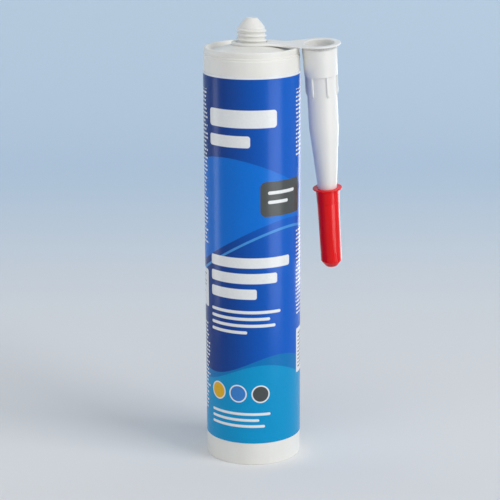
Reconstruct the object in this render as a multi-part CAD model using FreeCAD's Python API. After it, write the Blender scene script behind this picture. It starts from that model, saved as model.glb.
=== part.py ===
import FreeCAD, Part
import math
import os

# A sealant cartridge for a caulking gun, standing on its open end, with its nozzle still joined
# to the hanger plate that it was moulded with and a push-on cap over the nozzle's tip.
# Millimetres, Z up. The origin is the centre of the open foot; the nozzle hangs on the +X side.

V = FreeCAD.Vector

# Barrel: one moulding of tube, coned head, rim and threaded spout
barrel_height = 216.0
barrel_radius = 24.5
barrel_wall = 1.2
foot_round = 0.3
foot_lead_in = 0.5
shoulder_drop = 4.6
shoulder_step = 0.3
shoulder_height = 1.1
groove_depth = 0.25
groove_height = 0.4
rim_step = 0.4
rim_land = 1.2
rim_round = 0.4
recess_depth = 2.8
recess_slope = 1.1
head_wall = 2.2

# Seat ring round the root of the spout, which carries the hanger plate above the rim
seat_rise = 1.35
seat_radius = 9.0

# Spout: closed, threaded, with a bulged cone that the user cuts off
spout_rise = 14.3
spout_wall = 1.3
spout_tip_radius = 2.6
spout_tip_round = 0.6
cone_height = 4.7
cone_bulge = 0.2
thread_root_radius = 6.7
thread_depth = 0.8
thread_pitch = 2.4
thread_root_width = 1.6
thread_crest_width = 0.55
thread_turns = 3.1
thread_end_bearing = 210.0
thread_end_below_cone = 0.45
thread_run_out = 25.0

# Label: a thin printed wrap with its ends lapped at the back
label_bottom = 11.9
label_top = 204.2
label_thickness = 0.2
label_lap = 8.0

# Piston and the charge of sealant between it and the head
charge_length = 179.5
fill_clearance = 0.03
piston_length = 20.0
piston_clearance = 0.2
piston_wall = 1.3
piston_crown = 1.8
piston_lip_height = 2.2
piston_waist_depth = 0.7
piston_lip_chamfer = 0.6
piston_rib_count = 6
piston_rib_height = 5.0
piston_rib_width = 1.2
piston_boss_radius = 6.0

# Hanger plate: a ring on the spout and the nozzle's flange, joined by a waisted neck. The gap is
# between the barrel's side and the nozzle's collar.
plate_thickness = 0.8
plate_running_gap = 0.1
ring_radius = 10.2
ring_bore_clearance = 0.3
flange_radius = 10.85
hang_gap = 0.75
hang_bearing = -3.7
neck_root_half_width = 9.75
neck_waist_half_width = 5.5
neck_sag = 0.3
flange_sag = 0.4
flange_lean_out = 1.8
nozzle_lean_out = 3.25
nozzle_lean_back = 5.1

# Nozzle, measured down its axis from the top of the flange
nozzle_length = 110.0
collar_radius = 8.85
collar_taper = 0.4
collar_length = 16.6
collar_round = 0.3
nozzle_radius = 7.6
nozzle_straight_end = 44.3
nozzle_tip_radius = 2.1
nozzle_wall = 1.15
nozzle_tip_wall = 0.85
socket_mouth_radius = 7.6
socket_mouth_depth = 4.0
socket_thread_length = 9.0
socket_thread_clearance = 0.25
socket_seat_length = 2.5
rib_count = 6
rib_height = 0.75
rib_width = 1.2
rib_end = 27.6
rib_run_out = 1.8
rib_bearing = -5.3
notch_count = 48
notch_width = 0.6
notch_height = 0.8
notch_web = 0.35

# Cap: a thin red cup pushed over the tapered tip of the nozzle
cap_start = 76.5
cap_length = 43.2
cap_rim_radius = 7.65
cap_rim_thickness = 0.7
cap_mouth_radius = 6.1
cap_step_from_rim = 8.0
cap_step_radius = 5.78
cap_step_depth = 0.08
cap_end_radius = 5.4
cap_end_round = 2.8
cap_wall = 0.9
cap_end_wall = 1.2
cap_land_length = 3.0
cap_fit_clearance = 0.1

# Sizes that follow from the ones above
bore_radius = barrel_radius - barrel_wall
seat_z = barrel_height + seat_rise
spout_top_z = barrel_height + spout_rise
cone_base_z = spout_top_z - cone_height
recess_radius = barrel_radius - rim_step - rim_land - recess_slope
recess_z = barrel_height - recess_depth
head_slope = (seat_z - recess_z) / (recess_radius - seat_radius)
head_drop = head_wall * math.hypot(1.0, head_slope)
thread_crest_radius = thread_root_radius + thread_depth
spout_bore_radius = thread_root_radius - spout_wall
plate_bottom_z = seat_z + plate_running_gap
plate_top_z = plate_bottom_z + plate_thickness
ring_bore_radius = thread_crest_radius + ring_bore_clearance
hang_reach = barrel_radius + hang_gap + collar_radius


def head_inner_z(radius):
    """Height of the head's inner cone at a radius."""
    return seat_z - (radius - seat_radius) * head_slope - head_drop


charge_top_z = head_inner_z(bore_radius)
crown_z = charge_top_z - charge_length


def outline(start, *steps):
    """Closed face in the XZ plane. A step is a point to run straight to, or an arc's middle and end."""
    edges = []
    here = V(start[0], 0, start[1])
    for step in steps + (start,):
        if isinstance(step[0], tuple):
            middle, end = step
            there = V(end[0], 0, end[1])
            edges.append(Part.Arc(here, V(middle[0], 0, middle[1]), there).toShape())
        else:
            there = V(step[0], 0, step[1])
            edges.append(Part.makeLine(here, there))
        here = there
    return Part.Face(Part.Wire(edges))


def turned(face):
    """Solid of revolution about Z from a face in the XZ plane."""
    return face.revolve(V(0, 0, 0), V(0, 0, 1), 360)


def corner(x_centre, z_centre, radius, angle):
    """Point on a quarter round, for the middle of its arc."""
    turn = math.radians(angle)
    return (x_centre + radius * math.cos(turn), z_centre + radius * math.sin(turn))


def thread(root, crest, height, sunk):
    """Helical ridge from root radius to crest radius, rising from Z 0, its foot sunk in the wall."""
    outward = 1 if crest > root else -1
    spread = (thread_root_width - thread_crest_width) * sunk / thread_depth
    foot = root - outward * sunk
    foot_width = thread_root_width + spread
    profile = Part.makePolygon([
        V(foot, 0, -foot_width / 2),
        V(crest, 0, -thread_crest_width / 2),
        V(crest, 0, thread_crest_width / 2),
        V(foot, 0, foot_width / 2),
        V(foot, 0, -foot_width / 2),
    ])
    helix = Part.makeHelix(thread_pitch, height, root)
    return Part.Wire(helix.Edges).makePipeShell([profile], True, True)


def run_out_wedge():
    """Wedge that lets the top end of the spout's thread fade into the root."""
    reach = thread_crest_radius + 2.0
    start = math.radians(thread_end_bearing - thread_run_out)
    end = math.radians(thread_end_bearing)
    past = math.radians(thread_end_bearing + thread_run_out)
    floor = thread_end_z - thread_pitch / 2
    base = [
        V(thread_crest_radius * math.cos(start), thread_crest_radius * math.sin(start), floor),
        V(reach * math.cos(start), reach * math.sin(start), floor),
        V(reach * math.cos(past), reach * math.sin(past), floor),
        V(thread_root_radius * math.cos(end), thread_root_radius * math.sin(end), floor),
    ]
    face = Part.Face(Part.makePolygon(base + base[:1]))
    return face.extrude(V(0, 0, thread_pitch * 2))


thread_end_z = cone_base_z - thread_end_below_cone
thread_start_z = thread_end_z - thread_turns * thread_pitch


def make_barrel():
    """Tube, shoulder, rim, coned head and the closed spout, turned as one wall."""
    rim_radius = barrel_radius - rim_step
    shoulder_z = barrel_height - shoulder_drop
    shoulder_radius = barrel_radius - shoulder_step
    groove_z = shoulder_z + shoulder_step + shoulder_height
    groove_radius = shoulder_radius - groove_depth
    rim_inner = rim_radius - rim_land
    tip_z = spout_top_z - spout_tip_round
    tip_edge = spout_tip_radius + spout_tip_round
    cone_middle_r = (thread_root_radius + tip_edge) / 2 + cone_bulge
    cone_middle_z = (cone_base_z + tip_z) / 2 + cone_bulge
    cone_inner_tip = tip_edge - spout_wall
    wall = outline(
        (bore_radius, foot_lead_in),
        (bore_radius + foot_lead_in, 0),
        (barrel_radius - foot_round, 0),
        (corner(barrel_radius - foot_round, foot_round, foot_round, -45), (barrel_radius, foot_round)),
        (barrel_radius, shoulder_z),
        (shoulder_radius, shoulder_z + shoulder_step),
        (shoulder_radius, groove_z),
        (groove_radius, groove_z + groove_height / 2),
        (rim_radius, groove_z + groove_height),
        (rim_radius, barrel_height - rim_round),
        (corner(rim_radius - rim_round, barrel_height - rim_round, rim_round, 45),
         (rim_radius - rim_round, barrel_height)),
        (rim_inner, barrel_height),
        (recess_radius, recess_z),
        (seat_radius, seat_z),
        (thread_root_radius, seat_z),
        (thread_root_radius, cone_base_z),
        ((cone_middle_r, cone_middle_z), (tip_edge, tip_z)),
        (corner(spout_tip_radius, tip_z, spout_tip_round, 45), (spout_tip_radius, spout_top_z)),
        (0, spout_top_z),
        (0, spout_top_z - spout_wall),
        (cone_inner_tip, spout_top_z - spout_wall),
        (spout_bore_radius, cone_base_z),
        (spout_bore_radius, head_inner_z(spout_bore_radius)),
        (bore_radius, charge_top_z),
    )
    ridge = thread(thread_root_radius, thread_crest_radius, thread_turns * thread_pitch, 0.3)
    ridge.rotate(V(0, 0, 0), V(0, 0, 1), thread_end_bearing - 360 * thread_turns)
    ridge.translate(V(0, 0, thread_start_z))
    ridge = ridge.cut(run_out_wedge())
    return turned(wall).fuse(ridge).removeSplitter()


def make_label():
    """Thin sleeve round the tube, one end lapped over the other at the back."""
    height = label_top - label_bottom
    inner = barrel_radius
    outer = barrel_radius + label_thickness
    sleeve = Part.makeCylinder(outer, height, V(0, 0, label_bottom))
    sleeve = sleeve.cut(Part.makeCylinder(inner, height, V(0, 0, label_bottom)))
    lap_angle = math.degrees(label_lap / outer)
    lap = Part.makeCylinder(outer + label_thickness, height, V(0, 0, label_bottom), V(0, 0, 1), lap_angle)
    lap = lap.cut(Part.makeCylinder(inner, height, V(0, 0, label_bottom)))
    lap.rotate(V(0, 0, 0), V(0, 0, 1), 90)
    return sleeve.fuse(lap).removeSplitter()


def make_sealant():
    """The charge: fills the bore from the piston's crown to the head, and the spout."""
    radius = bore_radius - fill_clearance
    spout_radius = spout_bore_radius - fill_clearance
    tip_z = spout_top_z - spout_wall - fill_clearance
    tip_radius = spout_tip_radius + spout_tip_round - spout_wall - fill_clearance
    return turned(outline(
        (0, crown_z),
        (radius, crown_z),
        (radius, head_inner_z(radius) - fill_clearance),
        (spout_radius, head_inner_z(spout_radius) - fill_clearance),
        (spout_radius, cone_base_z),
        (tip_radius, tip_z),
        (0, tip_z),
    ))


def make_piston():
    """Cup that follows the sealant up the bore, with two sealing lips and ribs under its crown."""
    lip = bore_radius - piston_clearance
    waist = lip - piston_waist_depth
    hollow = waist - piston_wall
    foot_z = crown_z - piston_length
    ceiling = crown_z - piston_crown
    cup = turned(outline(
        (0, ceiling),
        (hollow, ceiling),
        (hollow, foot_z),
        (lip - piston_lip_chamfer, foot_z),
        (lip, foot_z + piston_lip_chamfer),
        (lip, foot_z + piston_lip_height),
        (waist, foot_z + piston_lip_height + piston_waist_depth),
        (waist, crown_z - piston_lip_height - piston_waist_depth),
        (lip, crown_z - piston_lip_height),
        (lip, crown_z - piston_lip_chamfer),
        (lip - piston_lip_chamfer, crown_z),
        (0, crown_z),
    ))
    rib_z = ceiling - piston_rib_height
    boss = Part.makeCylinder(piston_boss_radius, piston_rib_height, V(0, 0, rib_z))
    boss = boss.cut(Part.makeCylinder(piston_boss_radius - piston_rib_width, piston_rib_height, V(0, 0, rib_z)))
    parts = [boss]
    inside = piston_boss_radius - piston_rib_width / 2
    for number in range(piston_rib_count):
        rib = Part.makeBox(hollow + piston_wall / 2 - inside, piston_rib_width, piston_rib_height,
                           V(inside, -piston_rib_width / 2, rib_z))
        rib.rotate(V(0, 0, 0), V(0, 0, 1), 360 / piston_rib_count * number)
        parts.append(rib)
    return cup.multiFuse(parts).removeSplitter()


def lean(out, back):
    """Rotation that tips an upright axis so that its lower end leans out and back."""
    up = V(-math.tan(math.radians(out)), -math.tan(math.radians(back)), 1)
    return FreeCAD.Rotation(V(0, 0, 1), up)


# Frames of the flange and of the nozzle, in the plate's own axes: X along the arm, Z 0 at its top
flange_centre = V(hang_reach, 0, -flange_sag)
flange_frame = FreeCAD.Placement(flange_centre, lean(flange_lean_out, nozzle_lean_back))
nozzle_frame = FreeCAD.Placement(flange_centre, lean(nozzle_lean_out, nozzle_lean_back))
plate_frame = FreeCAD.Placement(V(0, 0, plate_top_z), FreeCAD.Rotation(V(0, 0, 1), hang_bearing))


def placed(shape, frame):
    """Copy of a shape moved into a frame."""
    moved = shape.copy()
    moved.Placement = frame.multiply(moved.Placement)
    return moved


def neck_half_width(x, root_x, waist_x):
    """Half width of the neck, which runs straight from a disc's edge to the waist."""
    share = abs(x - waist_x) / abs(root_x - waist_x)
    return neck_waist_half_width + (neck_root_half_width - neck_waist_half_width) * share


def cross_section(frame, x, half_width):
    """Rectangle across the neck, in a frame whose X runs along the arm."""
    corners = [(-half_width, 0), (half_width, 0), (half_width, -plate_thickness), (-half_width, -plate_thickness)]
    points = [frame.multVec(V(x, y, z)) for y, z in corners]
    return Part.makePolygon(points + points[:1])


def make_plate():
    """Level ring on the spout, bent and twisted neck, and the nozzle's flange, in the plate's axes."""
    waist_x = hang_reach / 2
    ring_root_x = math.sqrt(ring_radius ** 2 - neck_root_half_width ** 2)
    flange_root_x = hang_reach - math.sqrt(flange_radius ** 2 - neck_root_half_width ** 2)
    level = FreeCAD.Placement()
    bend_start = ring_radius
    bend_end = hang_reach - flange_radius

    ring = Part.makeCylinder(ring_radius, plate_thickness, V(0, 0, -plate_thickness))
    ring_side = Part.makeLoft([
        cross_section(level, ring_root_x, neck_root_half_width),
        cross_section(level, bend_start, neck_half_width(bend_start, ring_root_x, waist_x)),
    ], True, True)

    flange = placed(Part.makeCylinder(flange_radius, plate_thickness, V(0, 0, -plate_thickness)), flange_frame)
    edge_width = neck_half_width(bend_end, flange_root_x, waist_x)
    flange_edge = cross_section(flange_frame, bend_end - hang_reach, edge_width)
    flange_side = Part.makeLoft([
        flange_edge,
        cross_section(flange_frame, flange_root_x - hang_reach, neck_root_half_width),
    ], True, True)

    halfway = lean(flange_lean_out / 2, nozzle_lean_back / 2)
    waist_frame = FreeCAD.Placement(V(waist_x, 0, -neck_sag), halfway)
    neck = Part.makeLoft([
        cross_section(level, bend_start, neck_half_width(bend_start, ring_root_x, waist_x)),
        cross_section(waist_frame, 0, neck_waist_half_width),
        flange_edge,
    ], True, True)

    bore = Part.makeCylinder(ring_bore_radius, plate_thickness * 4, V(0, 0, -plate_thickness * 2))
    return ring.multiFuse([ring_side, neck, flange_side, flange]).cut(bore)


def nozzle_outer_radius(down):
    """Outside radius of the tapered part of the nozzle at a distance below the flange's top."""
    share = (down - nozzle_straight_end) / (nozzle_length - nozzle_straight_end)
    return nozzle_radius - (nozzle_radius - nozzle_tip_radius) * share


def make_nozzle():
    """Hanger plate, threaded collar, ribs and tapered tip, one moulding."""
    wall_start = plate_thickness / 2
    collar_end_radius = collar_radius - collar_taper
    socket_thread_root = thread_crest_radius + socket_thread_clearance
    thread_start = socket_mouth_depth
    thread_end = thread_start + socket_thread_length
    seat_end = thread_end + socket_seat_length
    body_bore = nozzle_radius - nozzle_wall
    tip_bore = nozzle_tip_radius - nozzle_tip_wall

    outside = turned(outline(
        (0, -wall_start),
        (collar_radius, -wall_start),
        (collar_end_radius, collar_round - collar_length),
        (corner(collar_end_radius - collar_round, collar_round - collar_length, collar_round, -45),
         (collar_end_radius - collar_round, -collar_length)),
        (nozzle_radius, -collar_length),
        (nozzle_radius, -nozzle_straight_end),
        (nozzle_tip_radius, -nozzle_length),
        (0, -nozzle_length),
    ))
    inside = turned(outline(
        (0, plate_thickness),
        (socket_mouth_radius, plate_thickness),
        (socket_mouth_radius, -thread_start),
        (socket_thread_root, -thread_start),
        (socket_thread_root, -thread_end),
        (body_bore, -seat_end),
        (body_bore, -nozzle_straight_end),
        (tip_bore, -nozzle_length),
        (tip_bore, -nozzle_length - 1),
        (0, -nozzle_length - 1),
    ))
    ribs = []
    for number in range(rib_count):
        rib = outline(
            (nozzle_radius - nozzle_wall / 2, -collar_length + collar_round),
            (nozzle_radius + rib_height, -collar_length + collar_round),
            (nozzle_radius + rib_height, -rib_end + rib_run_out),
            (nozzle_radius, -rib_end),
            (nozzle_radius - nozzle_wall / 2, -rib_end),
        ).extrude(V(0, rib_width, 0))
        rib.translate(V(0, -rib_width / 2, 0))
        rib.rotate(V(0, 0, 0), V(0, 0, 1), rib_bearing + 360 / rib_count * number)
        ribs.append(rib)
    notches = []
    notch_floor = socket_mouth_radius + notch_web
    for number in range(notch_count):
        notch = Part.makeBox(collar_radius, notch_width, notch_height,
                             V(notch_floor, -notch_width / 2, -plate_thickness - notch_height))
        notch.rotate(V(0, 0, 0), V(0, 0, 1), 360 / notch_count * number)
        notches.append(placed(notch, flange_frame))

    minor = thread_root_radius + socket_thread_clearance
    ridge_height = socket_thread_length - thread_root_width
    ridge = thread(socket_thread_root, minor, ridge_height, 0.2)
    ridge.translate(V(0, 0, thread_root_width / 2 - thread_end))

    tube = outside.multiFuse(ribs)
    body = make_plate().fuse(placed(tube, nozzle_frame))
    body = body.cut(placed(inside, nozzle_frame)).cut(Part.makeCompound(notches))
    body = body.fuse(placed(ridge, nozzle_frame)).removeSplitter()
    return placed(body, plate_frame)


def make_cap():
    """Cup with a thin rim, gripped by a short land that has the nozzle's own taper."""
    mouth = -cap_start
    end = mouth - cap_length
    step_z = mouth - cap_step_from_rim
    round_z = end + cap_end_round
    land_z = mouth - cap_land_length
    grip_top = nozzle_outer_radius(cap_start) + cap_fit_clearance
    grip_end = nozzle_outer_radius(cap_start + cap_land_length) + cap_fit_clearance
    hollow_end = cap_end_radius - cap_wall
    cap = turned(outline(
        (grip_top, mouth),
        (cap_rim_radius, mouth),
        (cap_rim_radius, mouth - cap_rim_thickness),
        (cap_mouth_radius, mouth - cap_rim_thickness),
        (cap_step_radius, step_z),
        (cap_step_radius - cap_step_depth, step_z - cap_step_depth),
        (cap_end_radius, round_z),
        (corner(cap_end_radius - cap_end_round, round_z, cap_end_round, -45),
         (cap_end_radius - cap_end_round, end)),
        (0, end),
        (0, end + cap_end_wall),
        (hollow_end - cap_end_round + cap_wall, end + cap_end_wall),
        (hollow_end, round_z),
        (grip_end, land_z),
    ))
    return placed(placed(cap, nozzle_frame), plate_frame)


pieces = {
    "barrel": make_barrel(),
    "label": make_label(),
    "sealant": make_sealant(),
    "piston": make_piston(),
    "nozzle": make_nozzle(),
    "nozzle_cap": make_cap(),
}

os.makedirs("parts", exist_ok=True)
for name, shape in pieces.items():
    shape.exportStep("parts/" + name + ".step")
    print(name, len(shape.Solids), "solid,", round(shape.Volume / 1000, 3), "cm3, valid", shape.isValid())
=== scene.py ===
# %% [markdown]
# # A sealant cartridge, built in Blender
#
# The object is a caulk tube: a white moulded barrel with a threaded spout, a printed film label,
# and a nozzle that still hangs from the plate it was moulded with, its tip under a red cap. The
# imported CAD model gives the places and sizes. Here every piece gets the soft edges, print and
# plastic skin that the solids don't have.

# %% Load the frame
import bpy
import bmesh
import math
from functools import partial
from mathutils import Matrix, Vector
from mathutils.geometry import delaunay_2d_cdt


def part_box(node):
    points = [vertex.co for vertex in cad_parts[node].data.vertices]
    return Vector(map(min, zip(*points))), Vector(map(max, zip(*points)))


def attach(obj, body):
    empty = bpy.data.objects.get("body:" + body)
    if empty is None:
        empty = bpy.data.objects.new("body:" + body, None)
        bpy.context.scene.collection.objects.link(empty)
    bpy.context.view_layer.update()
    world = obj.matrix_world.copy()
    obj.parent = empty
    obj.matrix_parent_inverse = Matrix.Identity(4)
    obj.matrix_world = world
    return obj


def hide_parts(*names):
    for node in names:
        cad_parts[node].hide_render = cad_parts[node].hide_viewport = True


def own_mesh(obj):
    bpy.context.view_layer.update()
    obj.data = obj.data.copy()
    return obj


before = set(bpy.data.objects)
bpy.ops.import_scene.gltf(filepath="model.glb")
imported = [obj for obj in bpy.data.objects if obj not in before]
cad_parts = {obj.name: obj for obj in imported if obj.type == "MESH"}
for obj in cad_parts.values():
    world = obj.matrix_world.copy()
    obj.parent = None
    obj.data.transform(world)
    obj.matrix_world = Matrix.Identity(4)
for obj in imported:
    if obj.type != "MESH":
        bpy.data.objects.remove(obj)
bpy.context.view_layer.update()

scene = bpy.context.scene
MM = 0.001
for part_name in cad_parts:
    low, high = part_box(part_name)
    print(part_name, "spans", [round((b - a) / MM, 2) for a, b in zip(low, high)], "mm")

# %% [markdown]
# ## The camera
#
# The picture was taken from about 0.9 m, a little above the spout, through a long lens. A long lens
# keeps upright things upright and shows only a narrow ellipse of the rim. The camera's three axes
# are worked out from its pitch, yaw and roll, because that is easier to correct than three Euler
# angles that depend on each other.

# %% Camera
PICTURE_SIDE = 500
LENS_IN_PIXELS = 1829.4
SENSOR_WIDTH = 36.0
CAMERA_PLACE = Vector((0, -0.91812, 0.35326))
PITCH, YAW, ROLL = 0.2595, -0.0015, -0.0054

level_ahead = Vector((math.sin(YAW), math.cos(YAW), 0))
level_right = Vector((math.cos(YAW), -math.sin(YAW), 0))
straight_up = Vector((0, 0, 1))
ahead = level_ahead * math.cos(PITCH) - straight_up * math.sin(PITCH)
tilted_up = straight_up * math.cos(PITCH) + level_ahead * math.sin(PITCH)
right = level_right * math.cos(ROLL) + tilted_up * math.sin(ROLL)
up = tilted_up * math.cos(ROLL) - level_right * math.sin(ROLL)

camera = bpy.data.objects.new("camera", bpy.data.cameras.new("camera"))
scene.collection.objects.link(camera)
camera_axes = Matrix((right, up, -ahead)).transposed().to_4x4()
camera.matrix_world = Matrix.Translation(CAMERA_PLACE) @ camera_axes
camera.data.sensor_width = SENSOR_WIDTH
camera.data.lens = LENS_IN_PIXELS / PICTURE_SIDE * SENSOR_WIDTH
camera.data.clip_start, camera.data.clip_end = 0.01, 20
scene.camera = camera
scene.view_settings.view_transform = "Standard"
print("lens", round(camera.data.lens, 1), "mm")

# %% [markdown]
# ## Floor, backdrop and lamps
#
# White plastic only reads as white if the light round it has a direction: here a big soft lamp far
# out to the right, weaker ones to the left, above and behind, and low strips that show only as
# highlights. The floor and the backdrop are one sheet with a large bend, so no horizon cuts the
# picture, and the sheet fades to a pale blue behind, so that the white plastic stands out.

# %% Colours
def colour(red, green, blue):
    """Linear colour with alpha from 0 to 255 screen values."""
    def linear(value):
        share = value / 255
        return share / 12.92 if share <= 0.04045 else ((share + 0.055) / 1.055) ** 2.4
    return (linear(red), linear(green), linear(blue), 1.0)


# %% Material helpers
def set_plain(shader, **values):
    """Sets constant values on a shader's own sockets. An underscore in a name stands for a space."""
    for name, value in values.items():
        shader.inputs[name.replace("_", " ")].default_value = value


def new_material(name):
    """(material, its node tree, its Principled shader) with nothing else in the tree but the output."""
    material = bpy.data.materials.new(name)
    material.use_nodes = True
    return material, material.node_tree, material.node_tree.nodes["Principled BSDF"]


def add_node(tree, kind, settings=None, **values):
    """Node with its settings and plain input values. A value that is a socket is linked instead."""
    node = tree.nodes.new(kind)
    for name, value in (settings or {}).items():
        setattr(node, name, value)
    for name, value in values.items():
        key = int(name[1:]) if name[1:].isdigit() and name[0] == "i" else name.replace("_", " ")
        if isinstance(value, bpy.types.NodeSocket):
            tree.links.new(value, node.inputs[key])
        else:
            node.inputs[key].default_value = value
    return node


def mixed(tree, share, first, second):
    """Colour that goes from the first to the second with a share."""
    node = add_node(tree, "ShaderNodeMix", {"data_type": "RGBA"}, i0=share, i6=first, i7=second)
    return node.outputs[2]


def ranged(tree, value, start, end, soft=False, **ends):
    """0 where a value is at start and 1 at end, or To_Min and To_Max. A soft one eases in and out."""
    settings = {"interpolation_type": "SMOOTHSTEP" if soft else "LINEAR"}
    node = add_node(
        tree, "ShaderNodeMapRange", settings, Value=value, From_Min=start, From_Max=end, **ends
    )
    return node.outputs["Result"]


# %% Floor and backdrop
SHEET_WIDTH, FRONT_REACH, BEND_START, BEND_RADIUS, SHEET_TOP = 12.0, 6.0, 0.7, 0.5, 2.2
BEND_STEPS = 16

section = [(-FRONT_REACH, 0.0), (BEND_START, 0.0)]
for step in range(1, BEND_STEPS + 1):
    turn = math.pi / 2 * step / BEND_STEPS
    section.append((BEND_START + BEND_RADIUS * math.sin(turn), BEND_RADIUS * (1 - math.cos(turn))))
section.append((BEND_START + BEND_RADIUS, SHEET_TOP))
points = [(side * SHEET_WIDTH / 2, y, z) for y, z in section for side in (-1, 1)]
quads = [(2 * i, 2 * i + 1, 2 * i + 3, 2 * i + 2) for i in range(len(section) - 1)]
sheet_mesh = bpy.data.meshes.new("floor")
sheet_mesh.from_pydata(points, [], quads)
sheet_mesh.shade_smooth()
floor = bpy.data.objects.new("floor", sheet_mesh)
scene.collection.objects.link(floor)

FLOOR_PAPER, WALL_PAPER = colour(236, 236, 236), colour(204, 222, 238)
FADE_START, FADE_END = 0.1, 0.75

paper, paper_tree, paper_shader = new_material("backdrop_paper")
paper_place = add_node(paper_tree, "ShaderNodeTexCoord").outputs["Object"]
paper_depth = add_node(paper_tree, "ShaderNodeSeparateXYZ", Vector=paper_place).outputs["Y"]
wall_share = ranged(paper_tree, paper_depth, FADE_START, FADE_END, soft=True)
paper_tint = mixed(paper_tree, wall_share, FLOOR_PAPER, WALL_PAPER)
paper_tree.links.new(paper_tint, paper_shader.inputs["Base Color"])
set_plain(paper_shader, Roughness=0.9, Specular_IOR_Level=0.0)
floor.data.materials.append(paper)
print("floor sheet", len(quads), "faces")

# %% Lamps
def soft_lamp(name, place, aim, width, height, radiance):
    """Rectangular lamp at a place, turned to a point. Its power is worked out from its radiance."""
    light = bpy.data.lights.new(name, "AREA")
    light.shape = "RECTANGLE"
    light.size, light.size_y = width, height
    light.energy = radiance * math.pi * width * height
    lamp = bpy.data.objects.new(name, light)
    lamp.location = place
    lamp.rotation_euler = (Vector(aim) - Vector(place)).to_track_quat("-Z", "Y").to_euler()
    scene.collection.objects.link(lamp)
    return lamp


OBJECT_MIDDLE = (0.0, 0.0, 0.12)
# Each lamp's place, width, height and radiance.
LAMPS = {
    "key": ((3.0, -1.8, 1.95), 2.2, 2.05, 5.6),
    "fill": ((-1.95, -1.95, 0.8), 1.85, 1.85, 1.05),
    "top": ((0.17, -1.1, 1.9), 1.5, 1.5, 1.0),
    "rear": ((-1.2, 0.75, 0.7), 1.0, 1.0, 0.6),
}
for name, (place, width, height, radiance) in LAMPS.items():
    soft_lamp(name, place, OBJECT_MIDDLE, width, height, radiance)


# %% Strips that show only as highlights
STRIP_TOP = 0.17


def highlight_strip(name, start, end, radiance):
    """Low lamp from start to end of a line on the floor. Only glossy surfaces show it."""
    middle = (Vector(start) + Vector(end)) / 2
    place = Vector((middle.x, middle.y, STRIP_TOP / 2))
    width = (Vector(end) - Vector(start)).length
    lamp = soft_lamp(name, place, (0.0, 0.0, STRIP_TOP / 2), width, STRIP_TOP, radiance)
    lamp.visible_camera = False
    lamp.visible_diffuse = False


# Each strip's two ends on the floor, and its radiance.
STRIPS = {
    "right_strip": ((0.16, -0.21), (0.28, -0.11), 4.2),
    "left_strip": ((-0.30, -0.03), (-0.29, 0.05), 3.0),
    "back_strip": ((0.27, 0.16), (0.12, 0.33), 2.5),
}
for name, (start, end, radiance) in STRIPS.items():
    highlight_strip(name, start, end, radiance)

world = bpy.data.worlds.new("studio")
scene.world = world
world.use_nodes = True
set_plain(world.node_tree.nodes["Background"], Color=colour(226, 230, 236), Strength=0.4)

# %% [markdown]
# ## Turning a shape, and rounding its corners
#
# Nearly every piece here is round, so it is drawn as half a section and turned about its axis, as on
# a lathe. Moulded plastic has no knife edges: each corner of a section may carry a small radius, and
# the helper below swaps that corner for an arc.

# %% Section corners
ARC_STEPS = 5


def with_rounds(section):
    """Points of a closed section. A third number in a point is the radius of its rounded corner."""
    finished = []
    for index, point in enumerate(section):
        here = Vector(point[:2])
        if len(point) == 2:
            finished.append(here)
            continue
        before = (Vector(section[index - 1][:2]) - here).normalized()
        after = (Vector(section[(index + 1) % len(section)][:2]) - here).normalized()
        half = before.angle(after) / 2
        centre = here + (before + after).normalized() * point[2] / math.sin(half)
        start = here + before * point[2] / math.tan(half) - centre
        end = here + after * point[2] / math.tan(half) - centre
        sweep = start.angle(end)
        for step in range(ARC_STEPS + 1):
            share = step / ARC_STEPS
            spoke = start * math.sin((1 - share) * sweep) + end * math.sin(share * sweep)
            finished.append(centre + spoke / math.sin(sweep))
    return finished


# %% Lathe
SMOOTH_BELOW, ON_AXIS = math.radians(38), 1e-6


def finish_piece(name, built, material, frame_in_mm=Matrix.Identity(4)):
    """Object from a bmesh in millimetres: placed, in metres, faces outwards, smooth but for corners."""
    built.transform(Matrix.Scale(MM, 4) @ frame_in_mm)
    bmesh.ops.recalc_face_normals(built, faces=built.faces)
    mesh = bpy.data.meshes.new(name)
    built.to_mesh(mesh)
    built.free()
    mesh.shade_smooth()
    mesh.set_sharp_from_angle(angle=SMOOTH_BELOW)
    mesh.materials.append(material)
    piece = bpy.data.objects.new(name, mesh)
    scene.collection.objects.link(piece)
    print(name, "has", len(mesh.polygons), "faces")
    return piece


def add_ring(built, radius, height, segments, place=None):
    """Ring of vertices about Z, or a single one on the axis. place maps each point elsewhere."""
    place = place or (lambda point: point)
    if radius < ON_AXIS:
        return [built.verts.new(place(Vector((0, 0, height))))]
    turns = [2 * math.pi * i / segments for i in range(segments)]
    spokes = [Vector((radius * math.cos(t), radius * math.sin(t), height)) for t in turns]
    return [built.verts.new(place(point)) for point in spokes]


def join_rings(built, first, second):
    """Faces between two rings. A ring of one vertex is a pole."""
    segments = max(len(first), len(second))
    for i in range(segments if segments > 1 else 0):
        j = (i + 1) % segments
        pairs = ((first, i), (first, j), (second, j), (second, i))
        corners = [ring[number % len(ring)] for ring, number in pairs]
        built.faces.new(list(dict.fromkeys(corners)))


def turned(name, section, material, segments, frame_in_mm=Matrix.Identity(4)):
    """Closed piece turned from a section of (radius, height) points in millimetres."""
    built = bmesh.new()
    rings = [add_ring(built, point.x, point.y, segments) for point in with_rounds(section)]
    for index, ring in enumerate(rings):
        join_rings(built, rings[index - 1], ring)
    return finish_piece(name, built, material, frame_in_mm)


# %% [markdown]
# ## Moulded skin
#
# Injection-moulded polyethylene is never one flat colour. The tool leaves a faint grain, the melt
# leaves soft streaks along its flow, and handling adds fine scuffs that dull the shine. Barrel,
# nozzle, cap and piston share that effect, so it is one node group with its own values in each.

# %% Group helpers
def maths(tree, operation, first, second=0.0, third=0.0):
    """Output of a Math node."""
    node = add_node(tree, "ShaderNodeMath", {"operation": operation}, i0=first, i1=second, i2=third)
    return node.outputs[0]


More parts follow.
